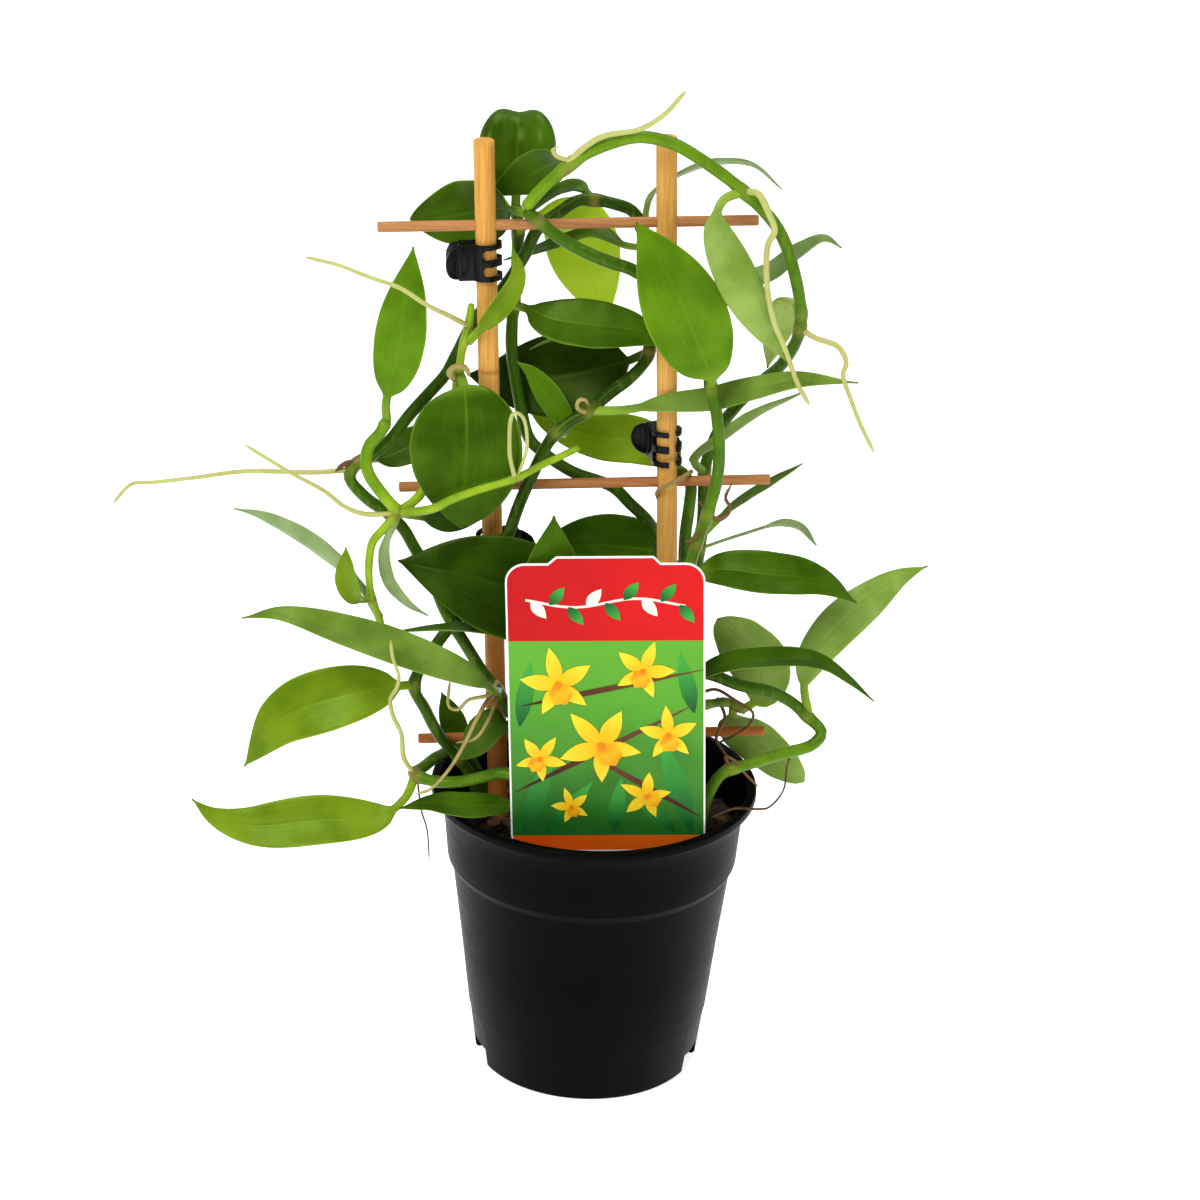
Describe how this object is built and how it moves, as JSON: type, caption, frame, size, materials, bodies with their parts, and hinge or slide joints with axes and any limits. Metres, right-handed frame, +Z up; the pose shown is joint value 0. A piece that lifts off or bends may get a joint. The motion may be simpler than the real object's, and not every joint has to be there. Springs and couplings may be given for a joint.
{
  "type": "potted orchid",
  "caption": "Climbing vanilla orchid in a tapered nursery pot, tied by claw clips to a bamboo trellis, with a plant label.",
  "frame": {"origin": "middle of the pot's flat underside", "axes": "+Z up along the pot's axis, -Y to the front with the label, +X to the right"},
  "size_m": [0.2907, 0.12, 0.3785],
  "materials": {
    "pot": "satin",
    "bark": "matte",
    "cane": "satin",
    "stick": "matte",
    "clip": "satin",
    "label": "satin",
    "stem": "satin",
    "shoot": "satin",
    "leaf": "satin",
    "young_leaf": "satin"
  },
  "bodies": {
    "potted_orchid": {"pot": "pot", "potting_bark": "bark", "cane_left": "cane", "cane_right": "cane", "stick_bottom": "stick", "stick_middle": "stick", "stick_top": "stick", "clip_left_upper_jaw_fixed": "clip", "clip_right_jaw_fixed": "clip", "clip_left_lower_jaw_fixed": "clip", "plant_label": "label", "vine_arch": "shoot", "vine_right": "stem", "vine_left": "stem", "vine_inner": "stem", "vine_clipped": "stem", "vine_low_left": "stem", "vine_low_right": "stem", "vine_shoot": "shoot", "leaf_top_left": "leaf", "leaf_top_round": "leaf", "leaf_crown": "leaf", "leaf_top_arch": "leaf", "leaf_long_right": "leaf", "leaf_right_kinked": "leaf", "leaf_front_right": "leaf", "leaf_hanging": "leaf", "leaf_pale_right": "young_leaf", "leaf_upper_right": "leaf", "leaf_inner_upper": "leaf", "leaf_inner_dark": "leaf", "leaf_small_bright": "young_leaf", "leaf_inner_right": "leaf", "leaf_left_round": "young_leaf", "leaf_behind_cane": "leaf", "leaf_left_upright": "young_leaf", "leaf_over_cane": "young_leaf", "leaf_back_pale": "young_leaf", "leaf_back_flat": "leaf", "leaf_left_grey": "leaf", "leaf_front_long": "leaf", "leaf_left_drooping": "young_leaf", "leaf_low_left": "leaf", "leaf_along_rim": "leaf", "leaf_middle_dark": "leaf", "leaf_pointed": "leaf", "leaf_behind_label": "leaf", "leaf_right_dark": "leaf", "leaf_right_raised": "leaf", "leaf_right_low": "leaf", "leaf_right_back": "leaf", "leaf_rim_right": "leaf", "leaf_in_pot": "leaf", "leaf_left_back": "leaf", "leaf_right_thin": "leaf", "leaf_right_back_low": "leaf", "leaf_left_level": "leaf"},
    "clip_left_upper_jaw": {"clip_left_upper_jaw_moving": "clip"},
    "clip_right_jaw": {"clip_right_jaw_moving": "clip"},
    "clip_left_lower_jaw": {"clip_left_lower_jaw_moving": "clip"}
  },
  "joints": [
    {"name": "clip_left_upper_hinge", "type": "hinge", "parent": "potted_orchid", "child": "clip_left_upper_jaw", "pos_m": [-0.05137, -0.00251, 0.31126], "axis": [-0.0383, -0.0019, 0.9993], "range_deg": [0, 32], "stiffness_Nm_per_rad": 0.01, "springref_deg": -20.05},
    {"name": "clip_right_hinge", "type": "hinge", "parent": "potted_orchid", "child": "clip_right_jaw", "pos_m": [0.01792, 0.00826, 0.24388], "axis": [-0.0383, -0.0019, 0.9993], "range_deg": [0, 32], "stiffness_Nm_per_rad": 0.01, "springref_deg": -20.05},
    {"name": "clip_left_lower_hinge", "type": "hinge", "parent": "potted_orchid", "child": "clip_left_lower_jaw", "pos_m": [-0.03201, 0.00229, 0.20393], "axis": [0.0383, 0.0019, -0.9993], "range_deg": [0, 32], "stiffness_Nm_per_rad": 0.01, "springref_deg": -20.05}
  ]
}
